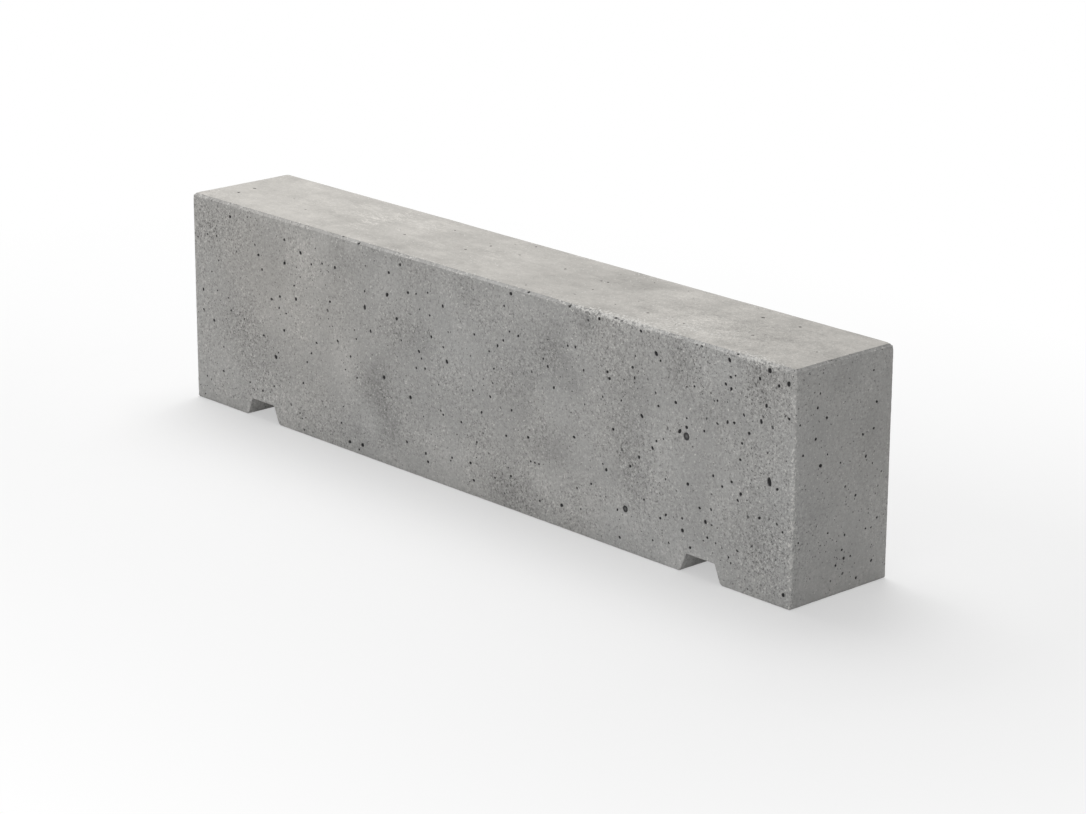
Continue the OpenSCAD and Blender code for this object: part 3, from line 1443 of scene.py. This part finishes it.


# Soft clouds of the front and the back: place along the block, height, reach along, reach up,
# and how much lighter or darker. The rest give the middle and the reach along X, Y and Z.
# Most are the concrete's own tone; those marked below are painted light.
FRONT_CLOUDS_AND_PAINTED_LIGHT = (
    (-1.25, 0.33, 0.19, 0.17, -0.09),
    (-0.50, 0.29, 0.13, 0.14, -0.21),
    (-0.40, 0.16, 0.12, 0.16, -0.18),
    (-0.30, 0.47, 0.20, 0.12, -0.13),
    (-0.65, 0.69, 0.09, 0.11, -0.08),
    (-0.28, 0.73, 0.10, 0.08, -0.04),
    (0.00, 0.70, 0.08, 0.08, -0.15),
    (0.42, 0.59, 0.13, 0.13, -0.20),
    (0.42, 0.40, 0.09, 0.08, 0.09),
    (-0.42, 0.30, 0.10, 0.14, -0.09),
    (0.24, 0.42, 0.14, 0.14, -0.10),
    (0.61, 0.74, 0.10, 0.09, -0.21),
    (-0.80, 0.74, 0.12, 0.08, 0.09),
    (0.00, 0.49, 0.12, 0.12, 0.09),
    # Painted light: the next two lighten the front low down, against the shade near the floor, and
    # the one after lightens the front's left end as if lit from the left.
    (-0.06, 0.12, 0.18, 0.15, 0.16),
    (1.00, 0.05, 0.12, 0.09, 0.18),
    (-1.50, 0.35, 0.26, 0.60, 0.08),
    (0.42, 0.28, 0.14, 0.12, -0.13),
    (0.78, 0.50, 0.14, 0.22, -0.10),
    (0.82, 0.27, 0.14, 0.18, -0.11),
    (1.03, 0.68, 0.09, 0.12, -0.19),
    (1.16, 0.56, 0.17, 0.09, -0.09),
    (1.22, 0.30, 0.10, 0.12, 0.08),
    (1.46, 0.42, 0.10, 0.42, 0.09),
    (0.76, 0.12, 0.18, 0.11, 0.15),
    (-0.42, 0.66, 0.12, 0.14, 0.10),
    (1.38, 0.70, 0.15, 0.12, -0.12),
    (0.24, 0.05, 0.18, 0.11, -0.27),
    (0.52, 0.01, 0.16, 0.07, -0.14),
    (-0.65, 0.02, 0.14, 0.10, -0.10),
    (-0.83, 0.02, 0.08, 0.08, -0.08),
    (-1.05, 0.07, 0.30, 0.12, 0.12),
    (-0.83, 0.64, 0.14, 0.18, 0.15),
    (-0.65, 0.32, 0.14, 0.17, 0.18),
    (-0.84, 0.40, 0.10, 0.14, 0.06),
    (-1.00, 0.45, 0.14, 0.13, 0.12),
    (-1.30, 0.14, 0.11, 0.13, 0.10),
    (-0.52, 0.13, 0.07, 0.11, 0.12),
    (-0.10, 0.60, 0.13, 0.22, 0.10),
    (0.40, 0.17, 0.10, 0.10, 0.20),
    (0.55, 0.26, 0.15, 0.28, 0.09),
    (0.93, 0.34, 0.10, 0.28, 0.12),
    (1.20, 0.72, 0.14, 0.10, 0.16),
    (0.30, 0.72, 0.20, 0.09, 0.08),
)
BACK_CLOUDS = (
    (-1.05, 0.52, 0.26, 0.20, -0.20),
    (-0.62, 0.24, 0.22, 0.24, 0.18),
    (-0.10, 0.60, 0.20, 0.14, -0.12),
    (0.24, 0.20, 0.20, 0.20, -0.20),
    (0.66, 0.56, 0.26, 0.22, 0.17),
    (1.12, 0.34, 0.20, 0.24, -0.18),
)
CLOUDS_AND_PAINTED_LIGHT = (
    *on_face(FRONT, FRONT_CLOUDS_AND_PAINTED_LIGHT),
    *on_face(BACK, BACK_CLOUDS),
    ((-1.00, FRONT, 0.45), (0.80, 0.20, 0.60), 0.10),
    ((1.35, FRONT, 0.16), (0.17, 0.14, 0.22), -0.08),
    ((-1.20, -0.04, TOP), (0.60, 0.40, 0.10), 0.10),
    ((-0.55, 0.05, TOP), (0.15, 0.25, 0.08), 0.07),
    ((-0.81, -0.14, TOP), (0.12, 0.20, 0.05), -0.14),
    ((-0.60, -0.18, TOP), (0.10, 0.10, 0.05), 0.16),
    ((0.86, 0.02, TOP), (0.14, 0.10, 0.05), 0.07),
    ((1.03, -0.18, TOP), (0.12, 0.08, 0.05), 0.06),
    ((1.42, 0.20, TOP), (0.10, 0.08, 0.05), -0.06),
    ((0.98, -0.12, TOP), (0.24, 0.16, 0.05), 0.12),
    ((0.92, 0.00, TOP), (0.34, 0.40, 0.05), 0.09),
    ((0.02, -0.08, TOP), (0.09, 0.17, 0.08), 0.08),
    ((0.68, 0.12, TOP), (0.10, 0.09, 0.08), 0.11),
    ((0.80, -0.16, TOP), (0.12, 0.08, 0.05), 0.10),
    ((0.44, 0.12, TOP), (0.16, 0.16, 0.08), -0.21),
    ((0.34, -0.04, TOP), (0.17, 0.11, 0.08), -0.10),
    ((1.28, 0.14, TOP), (0.12, 0.20, 0.08), -0.08),
    ((1.40, -0.12, TOP), (0.14, 0.14, 0.05), 0.07),
    ((1.14, 0.05, TOP), (0.15, 0.16, 0.08), -0.10),
    ((-0.40, -0.16, TOP), (0.15, 0.11, 0.05), -0.14),
    ((1.50, -0.01, 0.69), (0.08, 0.08, 0.09), -0.11),
    ((1.50, 0.13, 0.51), (0.08, 0.11, 0.15), -0.09),
    ((1.50, 0.10, 0.04), (0.08, 0.16, 0.08), -0.08),
    # Painted light: lighter along the foot of the right end, against the shade near the floor.
    ((1.50, 0.00, 0.00), (0.04, 0.40, 0.14), 0.10),
    ((1.50, -0.12, 0.28), (0.08, 0.09, 0.10), -0.08),
    ((1.50, 0.00, 0.22), (0.08, 0.20, 0.12), 0.08),
    # Painted light: the next two lighten the base slots and the skin round their mouths, which lie
    # in shade.
    ((-1.11, -0.03, 0.02), (0.20, 0.24, 0.12), 0.50),
    ((1.11, -0.03, 0.02), (0.20, 0.24, 0.12), 0.90),
    ((-1.50, 0.05, 0.55), (0.08, 0.14, 0.16), 0.10),
    ((-1.50, -0.06, 0.20), (0.08, 0.12, 0.14), -0.12),
)

# Rough, sandy patches of the skin, given in the same two ways, and how much rougher.
ROUGH_FRONT = (
    (1.50, 0.40, 0.26, 0.70, 0.70),
    (1.36, 0.12, 0.24, 0.26, 0.40),
    (1.28, 0.70, 0.20, 0.14, 0.45),
    (0.82, 0.30, 0.12, 0.20, 0.60),
    (0.72, 0.58, 0.14, 0.12, 0.40),
    (0.27, 0.52, 0.18, 0.12, 0.45),
    (-1.45, 0.55, 0.30, 0.50, 0.40),
    (-1.10, 0.14, 0.20, 0.20, 0.80),
    (-1.36, 0.70, 0.26, 0.14, 0.60),
    (-0.42, 0.22, 0.20, 0.20, 0.25),
    (-1.22, 0.33, 0.17, 0.17, 0.70),
    (-0.65, 0.06, 0.40, 0.14, 0.40),
    (0.35, 0.08, 0.50, 0.14, 0.35),
)
ROUGH_PATCHES = (
    *on_face(FRONT, ROUGH_FRONT),
    *on_face(BACK, ((0.30, 0.40, 0.40, 0.25, 0.50), (-1.20, 0.35, 0.40, 0.40, 0.50))),
    ((1.05, -0.05, TOP), (0.60, 0.34, 0.10), 1.20),
)

# Where the arrises and the skin beside them are chafed to light flakes.
CHAFED_STRETCHES = (
    ((0.68, FRONT, TOP), (0.36, 0.06, 0.030), 1.3),
    ((0.95, -0.14, TOP), (0.30, 0.12, 0.020), 0.7),
    ((1.34, FRONT, TOP), (0.16, 0.06, 0.030), 1.2),
    ((-0.20, FRONT, TOP), (0.60, 0.05, 0.025), 0.4),
    ((-1.20, FRONT, TOP), (0.45, 0.05, 0.025), 0.3),
    ((1.50, FRONT, 0.30), (0.020, 0.025, 0.60), 0.9),
    ((0.40, BACK, TOP), (1.20, 0.04, 0.03), 0.6),
)

# Where the cast faces have more small pinholes, and how many more.
CROWDED_FRONT = (
    (-1.34, 0.72, 0.28, 0.11, 0.9),
    (-0.95, 0.62, 0.16, 0.12, 0.6),
    (0.72, 0.55, 0.14, 0.10, 0.6),
    (1.30, 0.60, 0.22, 0.30, 0.4),
)
CROWDED_PATCHES = (
    *on_face(FRONT, CROWDED_FRONT),
    ((1.50, 0.00, 0.40), (0.06, 0.50, 0.90), 0.8),
    ((-1.50, 0.00, 0.40), (0.06, 0.50, 0.90), 0.8),
    ((1.50, 0.05, 0.11), (0.05, 0.22, 0.12), 0.6),
)

# Where the cast faces are browner or greyer: middle, reach, and how much.
WARM_PATCHES = (
    ((-1.05, FRONT, 0.55), (0.80, 0.30, 0.50), 0.70),
    ((1.10, FRONT, 0.10), (0.80, 0.30, 0.40), -0.35),
)

# Painted light and shade on the top chamfers and their two edges: middle, reach, and how much
# lighter or darker. The end's top chamfer is darkened as painted shade, and the edges carry thin
# painted highlights and painted shade lines.
CHAMFER_LIGHT_AND_SHADE = (
    ((1.50, 0.02, TOP), (0.06, 0.40, 0.06), -0.10),
    ((-0.35, FRONT, TOP), (0.36, 0.06, 0.05), 0.08),
    ((0.15, FRONT, TOP), (0.30, 0.06, 0.05), 0.10),
    ((1.15, FRONT, TOP), (0.50, 0.06, 0.05), 0.15),
    ((0.62, FRONT, TOP), (0.20, 0.06, 0.05), -0.08),
)
UPPER_EDGE_LIGHT_AND_SHADE = (
    ((-0.70, FRONT, TOP), (1.30, 0.06, 0.05), -0.16),
    ((1.50, 0.00, TOP), (0.05, 0.40, 0.05), 0.16),
)
LOWER_EDGE_HIGHLIGHTS = (
    ((-0.40, FRONT, TOP), (1.60, 0.06, 0.05), 0.18),
    ((1.20, FRONT, TOP), (0.80, 0.06, 0.05), 0.12),
)

# Where the top's light veins are stronger: middle, reach, and how much.
VEINED_PATCHES = (
    ((-0.75, 0.02, TOP), (0.45, 0.30, 0.05), 0.44),
    ((-0.15, 0.00, TOP), (0.30, 0.20, 0.05), 0.20),
    ((1.00, -0.06, TOP), (0.60, 0.30, 0.05), 0.18),
)


# Wander of the places at which the soft spots are laid, in metres along X, Y and Z.
WOBBLE = Vector((0.22, 0.12, 0.22))


def wobbled(recipe, place):
    """Places pushed about a little, so that the soft spots aren't plain ovals."""
    wobble = recipe.noise(place, scale=5.0, detail=3.0, roughness=0.6, output="Color")
    wobble = recipe.vector("MULTIPLY_ADD", wobble, WOBBLE, -WOBBLE / 2)
    return recipe.vector("ADD", place, wobble)


def with_spots(recipe, place, start, spots):
    """A number at a place, raised or lowered by soft spots."""
    total = start
    for middle, reach, amount in spots:
        inputs = {"Vector": place, "Location": middle, "Scale": reach}
        inside = recipe.add("ShaderNodeMapping", inputs, "Vector", vector_type="TEXTURE")
        spot = recipe.add(
            "ShaderNodeTexGradient", {"Vector": inside}, "Fac", gradient_type="SPHERICAL"
        )
        total = recipe.number("MULTIPLY_ADD", spot, amount, total)
    return total


def left_of(recipe, cover, change):
    """How much of a detail is left: all of it, or 1 + change where it is covered."""
    return recipe.number("MULTIPLY_ADD", cover, change, 1.0)


# How rough the skin is outside the rough patches.
USUAL_ROUGHNESS = 0.15


class Skin:
    """What the parts of the concrete's recipe share: places, finishes and the sand's own noise."""

    def __init__(self, tree):
        recipe = Recipe(tree)
        self.recipe = recipe
        self.place = recipe.add("ShaderNodeTexCoord", {}, "Object")
        self.bent = wobbled(recipe, self.place)
        self.trowelled = recipe.paint("trowelled")
        along = recipe.vector("DOT_PRODUCT", self.place, (1.0, 0.0, 0.0), output="Value")
        off_middle = recipe.number("ABSOLUTE", along)
        self.at_end = recipe.span(off_middle, BLOCK_HIGH.x - 0.015, BLOCK_HIGH.x - 0.001)
        self.roughness = with_spots(recipe, self.bent, USUAL_ROUGHNESS, ROUGH_PATCHES)
        self.sand = recipe.noise(self.place, scale=118.0, detail=1.0, roughness=0.8)


def carved_ridges(skin):
    """Thin winding ridges of sandy skin, above and below the middle tone, where it is rough."""
    recipe = skin.recipe
    fac = recipe.noise(skin.place, scale=105.0, detail=2.0, roughness=0.5)
    ridges = recipe.span(recipe.off_half(fac), 0.055, 0.0)
    ridges = recipe.number("MULTIPLY_ADD", ridges, 0.44, -0.13)
    return recipe.number("MULTIPLY", ridges, skin.roughness)


def fine_grain(skin, carved):
    """Fine mottle with dark and light flecks of sand, calmer on the ends and on the top."""
    recipe = skin.recipe
    mottle = recipe.drift(skin.place, scale=54.0, strength=0.68, detail=3.0, roughness=0.85)
    dark_flecks = recipe.span(skin.sand, 0.44, 0.30, 0.0, -0.38)
    light_flecks = recipe.span(skin.sand, 0.58, 0.72, 0.0, 0.38)
    grain = recipe.number("ADD", mottle, recipe.number("ADD", dark_flecks, light_flecks))
    harsh = recipe.noise(skin.place, scale=5.0, detail=4.0, roughness=0.65)
    harsh = recipe.span(harsh, 0.40, 0.62, 0.30, 0.86)
    harsh = recipe.number("MULTIPLY_ADD", skin.roughness, 0.68, harsh)
    grain = recipe.number("MULTIPLY_ADD", grain, harsh, -0.03)
    smoothing = recipe.number("MULTIPLY_ADD", skin.roughness, 0.12, -0.80)
    quiet = left_of(recipe, skin.at_end, -0.26)
    quiet = recipe.number("MULTIPLY", quiet, left_of(recipe, skin.trowelled, smoothing))
    fading = left_of(recipe, skin.at_end, -0.8)
    fading = recipe.number("MULTIPLY", fading, left_of(recipe, skin.trowelled, -0.4))
    grain = recipe.number("MULTIPLY", grain, quiet)
    return recipe.number("MULTIPLY_ADD", carved, fading, grain)


def painted_edge_light(skin):
    """Chamfers' painted light and shade, with painted highlight and shade lines on their edges in
    places.
    """
    recipe = skin.recipe
    lines = []
    for start, tones, paint in (
        (-0.04, UPPER_EDGE_LIGHT_AND_SHADE, "upper_edge"),
        (0.0, LOWER_EDGE_HIGHLIGHTS, "lower_edge"),
        (0.02, CHAMFER_LIGHT_AND_SHADE, "chamfer"),
    ):
        tone = with_spots(recipe, skin.place, start, tones)
        lines.append(recipe.number("MULTIPLY", tone, recipe.paint(paint)))
    upper, lower, slope = lines
    broken = recipe.noise(skin.place, scale=38.0, detail=3.0, roughness=0.6)
    broken = recipe.span(broken, 0.36, 0.58)
    return recipe.number("MULTIPLY_ADD", recipe.number("ADD", upper, lower), broken, slope)


def trowel_tone(skin):
    """Light veins, dark drags and broad patches that the trowel left along the top."""
    recipe = skin.recipe
    place = skin.place
    wobble = recipe.noise(place, scale=7.0, detail=2.0, roughness=0.5, output="Color")
    bent = recipe.vector("MULTIPLY_ADD", wobble, (0.06, 0.06, 0.0), place)
    long_place = recipe.stretched(bent, (5.0, 14.0, 1.0))
    broad = recipe.noise(long_place, scale=1.0, detail=6.0, roughness=0.75)
    thin_place = recipe.stretched(bent, (14.0, 50.0, 1.0))
    thin = recipe.noise(thin_place, scale=1.0, detail=4.0, roughness=0.65)
    vein = recipe.span(recipe.off_half(thin), 0.035, 0.0, smooth=True)
    where = recipe.noise(place, scale=6.0, detail=3.0, roughness=0.6)
    vein = recipe.number("MULTIPLY", vein, recipe.span(where, 0.45, 0.62))
    drag = recipe.span(thin, 0.34, 0.26, 0.0, -0.12)
    tone = recipe.number("MULTIPLY_ADD", broad, 0.52, -0.26)
    patchy = recipe.number("MULTIPLY_ADD", skin.roughness, 0.25, 0.20)
    patches = recipe.drift(place, scale=15.0, strength=1.0, detail=5.0, roughness=0.75)
    tone = recipe.number("ADD", tone, recipe.number("MULTIPLY", patches, patchy))
    tone = recipe.number("ADD", tone, drag)
    strength = with_spots(recipe, place, 0.10, VEINED_PATCHES)
    tone = recipe.number("MULTIPLY_ADD", vein, strength, tone)
    return recipe.number("MULTIPLY", tone, skin.trowelled)


def block_tone(skin, grain):
    """How light the concrete is at each place, 1 being its colour's tone, with painted light and
    shade.
    """
    recipe = skin.recipe
    tone = recipe.drift(skin.bent, scale=5.0, strength=0.16, detail=5.0, roughness=0.70)
    tone = with_spots(recipe, skin.bent, recipe.number("ADD", tone, 1.0), CLOUDS_AND_PAINTED_LIGHT)
    height = recipe.vector("DOT_PRODUCT", skin.bent, (0.0, 0.0, 1.0), output="Value")
    # Painted light: the block is lighter towards its bottom, fading out 0.24 m up, against the
    # shade near the floor.
    painted_foot_light = recipe.span(height, 0.0, 0.24, 0.09, 0.0, smooth=True)
    for part in (painted_foot_light, grain, painted_edge_light(skin), trowel_tone(skin)):
        tone = recipe.number("ADD", tone, part)
    return recipe.number("MULTIPLY_ADD", skin.at_end, 0.03, tone)


def base_colour(skin, finish):
    """The cast faces' colour, browner here and there, and the trowelled top's."""
    recipe = skin.recipe
    warmth = recipe.drift(skin.place, scale=2.5, strength=0.5, detail=3.0, roughness=0.6)
    warmth = with_spots(recipe, skin.place, recipe.number("ADD", warmth, 0.35), WARM_PATCHES)
    warmth = recipe.span(warmth, 0.0, 1.0)
    base = recipe.mix(warmth, (*finish.cast_colour, 1), (*finish.warm_colour, 1))
    return recipe.mix(skin.trowelled, base, (*finish.trowelled_colour, 1))


def bared_flakes(skin):
    """Light flakes of bared sand along the worn arrises."""
    recipe = skin.recipe
    worn = recipe.number("MULTIPLY", recipe.paint("worn"), 0.12)
    chafed = with_spots(recipe, skin.place, worn, CHAFED_STRETCHES)
    flakes = recipe.noise(skin.place, scale=110.0, detail=2.0, roughness=0.7)
    flakes = recipe.number("MULTIPLY_ADD", chafed, 0.17, flakes)
    return recipe.span(flakes, 0.64, 0.71, 0.0, 0.9)


def pinholes_in(skin):
    """Pinholes too small for the mesh's hollows: painted shade and some dirt, in crowds, few on the
    top.
    """
    recipe = skin.recipe
    sharp = recipe.specks(skin.place, scale=66.0, reach=0.0026, softness=0.4, share=0.8)
    dull = recipe.specks(skin.place, scale=48.0, reach=0.0045, softness=0.7, share=1.0)
    crowded = recipe.noise(skin.place, scale=7.0, detail=3.0, roughness=0.65)
    crowded = recipe.span(crowded, 0.38, 0.62, 0.15, 1.0)
    crowded = with_spots(recipe, skin.bent, crowded, CROWDED_PATCHES)
    pinholes = recipe.number("MULTIPLY_ADD", dull, 0.5, sharp)
    pinholes = recipe.number("MULTIPLY", pinholes, crowded)
    pinholes = recipe.number("MINIMUM", pinholes, 1.0)
    return recipe.number("MULTIPLY", pinholes, left_of(recipe, skin.trowelled, -0.75))


def relief(skin, parts):
    """Bump of the sand and of the parts laid on it, each with how far it stands up or sinks."""
    recipe = skin.recipe
    height = skin.sand
    for part, lift in parts:
        height = recipe.number("MULTIPLY_ADD", part, lift, height)
    inputs = {"Height": height, "Strength": 0.6, "Distance": 0.0008}
    return recipe.add("ShaderNodeBump", inputs, "Normal")


def concrete_material(finish):
    """Cast concrete: clouds, grain, bared arrises, trowelled top, and painted shade in holes and
    pinholes.
    """
    material = bpy.data.materials.new("concrete")
    material.use_nodes = True
    tree = material.node_tree
    skin = Skin(tree)
    recipe = skin.recipe
    carved = carved_ridges(skin)
    grain = fine_grain(skin, carved)
    flakes = bared_flakes(skin)
    pinholes = pinholes_in(skin)
    colour = recipe.toned(base_colour(skin, finish), block_tone(skin, grain))
    colour = recipe.mix(flakes, colour, (*finish.arris_colour, 1))
    # Painted shade with some dirt: pinholes too small for the mesh take the hole colour.
    colour = recipe.mix(pinholes, colour, (*finish.hole_shade_and_dirt_colour, 1))
    # Painted shade with some dirt: air holes darken towards the hole colour as they deepen.
    hollow = recipe.span(recipe.paint("hollow"), 0.05, 0.8)
    colour = recipe.mix(hollow, colour, (*finish.hole_shade_and_dirt_colour, 1))
    gloss = recipe.noise(skin.place, scale=30.0, detail=3.0, roughness=0.6)
    gloss = recipe.span(gloss, 0.3, 0.7, 0.8, 0.95)
    bump = relief(skin, ((grain, 1.2), (carved, 1.5), (flakes, 0.8), (pinholes, -2.0)))
    shader = tree.nodes["Principled BSDF"]
    shader.inputs["Specular IOR Level"].default_value = 0.3
    tree.links.new(colour, shader.inputs["Base Color"])
    tree.links.new(gloss, shader.inputs["Roughness"])
    tree.links.new(bump, shader.inputs["Normal"])
    return material


class BARRIER_OT_cast_block(bpy.types.Operator):
    """Cast the concrete block with its arrises, base slots and air holes"""

    bl_idname = "barrier.cast_block"
    bl_label = "Cast the block"

    def execute(self, context):
        scene = context.scene
        surface = cast_block(scene.barrier_shape, scene.barrier_wear)
        mesh = mesh_from(surface, "cast_block")
        block = bpy.data.objects.new("cast_block", mesh)
        scene.collection.objects.link(block)
        mesh.materials.append(concrete_material(scene.barrier_finish))
        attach(block, "root")
        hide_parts(BLOCK_NODE)
        return {"FINISHED"}


# ---------------------------------------------------------------------------------------------
# Stage
# ---------------------------------------------------------------------------------------------

# The camera: its place, the turns of its aim and its roll in degrees, the width of its sensor
# in millimetres, and how far it sees.
CAMERA_PLACE = (8.106, -7.380, 3.706)
CAMERA_AZIMUTH = 47.19
CAMERA_FALL = 17.44
CAMERA_ROLL = 0.29
SENSOR_WIDTH = 36.0
CAMERA_SIGHT = 400.0

# Soft lamps: name, place, width and height, and the setting that holds the power. All of them
# face one place.
LAMPS = (
    ("overhead_light", (-2.8, 2.0, 7.5), (6.0, 6.0), "key_power"),
    ("front_light", (2.5, -7.0, 2.2), (9.0, 3.0), "fill_power"),
)
LAMP_AIM = (0.0, 0.0, 0.4)

# The floor: how white it looks beside the block, the distances from the block between which it
# turns plain white, the colour that takes the shadow, and how far it lies below the block.
FLOOR_WHITENESS = 0.45
FLOOR_FADE = (0.7, 2.6)
FLOOR_COLOUR = (0.8, 0.8, 0.8, 1)
FLOOR_DROP = 0.0005
WHITE = (1, 1, 1, 1)


def add_camera(scene, lens):
    """The camera, level apart from a small roll."""
    data = bpy.data.cameras.new("camera")
    data.lens = lens
    data.sensor_width = SENSOR_WIDTH
    data.clip_end = CAMERA_SIGHT
    camera = bpy.data.objects.new("camera", data)
    scene.collection.objects.link(camera)
    camera.location = CAMERA_PLACE
    aim = Euler((math.radians(90 - CAMERA_FALL), 0, math.radians(CAMERA_AZIMUTH)))
    camera.rotation_mode = "QUATERNION"
    roll = Quaternion((0, 0, 1), math.radians(CAMERA_ROLL))
    camera.rotation_quaternion = aim.to_quaternion() @ roll
    scene.camera = camera


def add_soft_lamp(scene, name, place, size, power):
    """A large soft lamp at a place. Size is its width and height."""
    data = bpy.data.lights.new(name, "AREA")
    data.shape = "RECTANGLE"
    data.size, data.size_y = size
    data.energy = power
    lamp = bpy.data.objects.new(name, data)
    scene.collection.objects.link(lamp)
    lamp.location = place
    facing = Vector(LAMP_AIM) - Vector(place)
    lamp.rotation_euler = facing.to_track_quat("-Z", "Y").to_euler()


def seen_directly(recipe):
    """1 where the camera, or a mirror or glass in front of it, sees a surface; 0 for its light."""
    path = recipe.tree.nodes.new("ShaderNodeLightPath")
    either = recipe.number(
        "MAXIMUM", path.outputs["Is Camera Ray"], path.outputs["Is Glossy Ray"]
    )
    return recipe.number("MAXIMUM", either, path.outputs["Is Transmission Ray"])


def add_world(scene, strength):
    """Even white light from all round, and plain white where the camera sees past the floor."""
    world = bpy.data.worlds.new("studio")
    scene.world = world
    world.use_nodes = True
    recipe = Recipe(world.node_tree)
    world.node_tree.nodes.clear()
    room, white = (
        recipe.add("ShaderNodeBackground", {"Color": WHITE, "Strength": level}, "Background")
        for level in (strength, 1.0)
    )
    mixed = recipe.add("ShaderNodeMixShader", {0: seen_directly(recipe), 1: room, 2: white}, 0)
    output = world.node_tree.nodes.new("ShaderNodeOutputWorld")
    world.node_tree.links.new(mixed, output.inputs["Surface"])


def floor_material():
    """Pale floor with the block's shadow, plain white from some way off the block."""
    material = bpy.data.materials.new("floor")
    material.use_nodes = True
    tree = material.node_tree
    tree.nodes.clear()
    recipe = Recipe(tree)
    place = recipe.add("ShaderNodeTexCoord", {}, "Object")
    outside = recipe.vector("ABSOLUTE", place)
    outside = recipe.vector("SUBTRACT", outside, (BLOCK_HIGH.x, BLOCK_HIGH.y, 0))
    outside = recipe.vector("MAXIMUM", outside, (0, 0, 0))
    away = recipe.vector("LENGTH", outside, output="Value")
    fade = recipe.span(away, *FLOOR_FADE, FLOOR_WHITENESS, 1.0)
    fade = recipe.number("MULTIPLY", fade, seen_directly(recipe))
    plain = recipe.add("ShaderNodeBsdfDiffuse", {"Color": FLOOR_COLOUR}, "BSDF")
    white = recipe.add("ShaderNodeEmission", {"Color": WHITE, "Strength": 1.0}, "Emission")
    mixed = recipe.add("ShaderNodeMixShader", {0: fade, 1: plain, 2: white}, 0)
    output = tree.nodes.new("ShaderNodeOutputMaterial")
    tree.links.new(mixed, output.inputs["Surface"])
    return material


def add_floor(scene, size):
    """A wide pale floor."""
    half = size / 2
    corners = [(-half, -half, 0), (half, -half, 0), (half, half, 0), (-half, half, 0)]
    mesh = bpy.data.meshes.new("floor")
    mesh.from_pydata(corners, [], [(0, 1, 2, 3)])
    floor = bpy.data.objects.new("floor", mesh)
    scene.collection.objects.link(floor)
    mesh.materials.append(floor_material())
    floor.location.z = -FLOOR_DROP


class BARRIER_OT_set_stage(bpy.types.Operator):
    """Lay the pale floor and set up the lamps and the camera"""

    bl_idname = "barrier.set_stage"
    bl_label = "Set the stage"

    def execute(self, context):
        scene = context.scene
        stage = scene.barrier_stage
        scene.view_settings.view_transform = "Standard"
        add_camera(scene, stage.lens)
        add_world(scene, stage.sky_strength)
        for name, place, size, power in LAMPS:
            add_soft_lamp(scene, name, place, size, getattr(stage, power))
        add_floor(scene, stage.floor_size)
        return {"FINISHED"}


# ---------------------------------------------------------------------------------------------
# Panel and registration
# ---------------------------------------------------------------------------------------------


class BARRIER_PT_tools(bpy.types.Panel):
    """The block's operators and settings"""

    bl_idname = "BARRIER_PT_tools"
    bl_label = "Concrete barrier"
    bl_space_type = "VIEW_3D"
    bl_region_type = "UI"
    bl_category = "Barrier"

    def draw(self, context):
        layout = self.layout
        for operator in OPERATORS:
            layout.operator(operator.bl_idname)
        for name, group in SETTINGS:
            box = layout.box()
            for key in group.__annotations__:
                box.prop(getattr(context.scene, name), key)


SETTINGS = (
    ("barrier_shape", BarrierShape),
    ("barrier_wear", BarrierWear),
    ("barrier_finish", BarrierFinish),
    ("barrier_stage", BarrierStage),
)
OPERATORS = (BARRIER_OT_cast_block, BARRIER_OT_set_stage)


def register():
    """Registers the settings, the operators and the panel."""
    for name, group in SETTINGS:
        bpy.utils.register_class(group)
        setattr(bpy.types.Scene, name, bpy.props.PointerProperty(type=group))
    for operator in OPERATORS:
        bpy.utils.register_class(operator)
    bpy.utils.register_class(BARRIER_PT_tools)


def unregister():
    """Takes the panel, the operators and the settings out again."""
    bpy.utils.unregister_class(BARRIER_PT_tools)
    for operator in reversed(OPERATORS):
        bpy.utils.unregister_class(operator)
    for name, group in reversed(SETTINGS):
        delattr(bpy.types.Scene, name)
        bpy.utils.unregister_class(group)


def main():
    register()
    bpy.ops.barrier.cast_block()
    bpy.ops.barrier.set_stage()


if __name__ == "__main__":
    main()
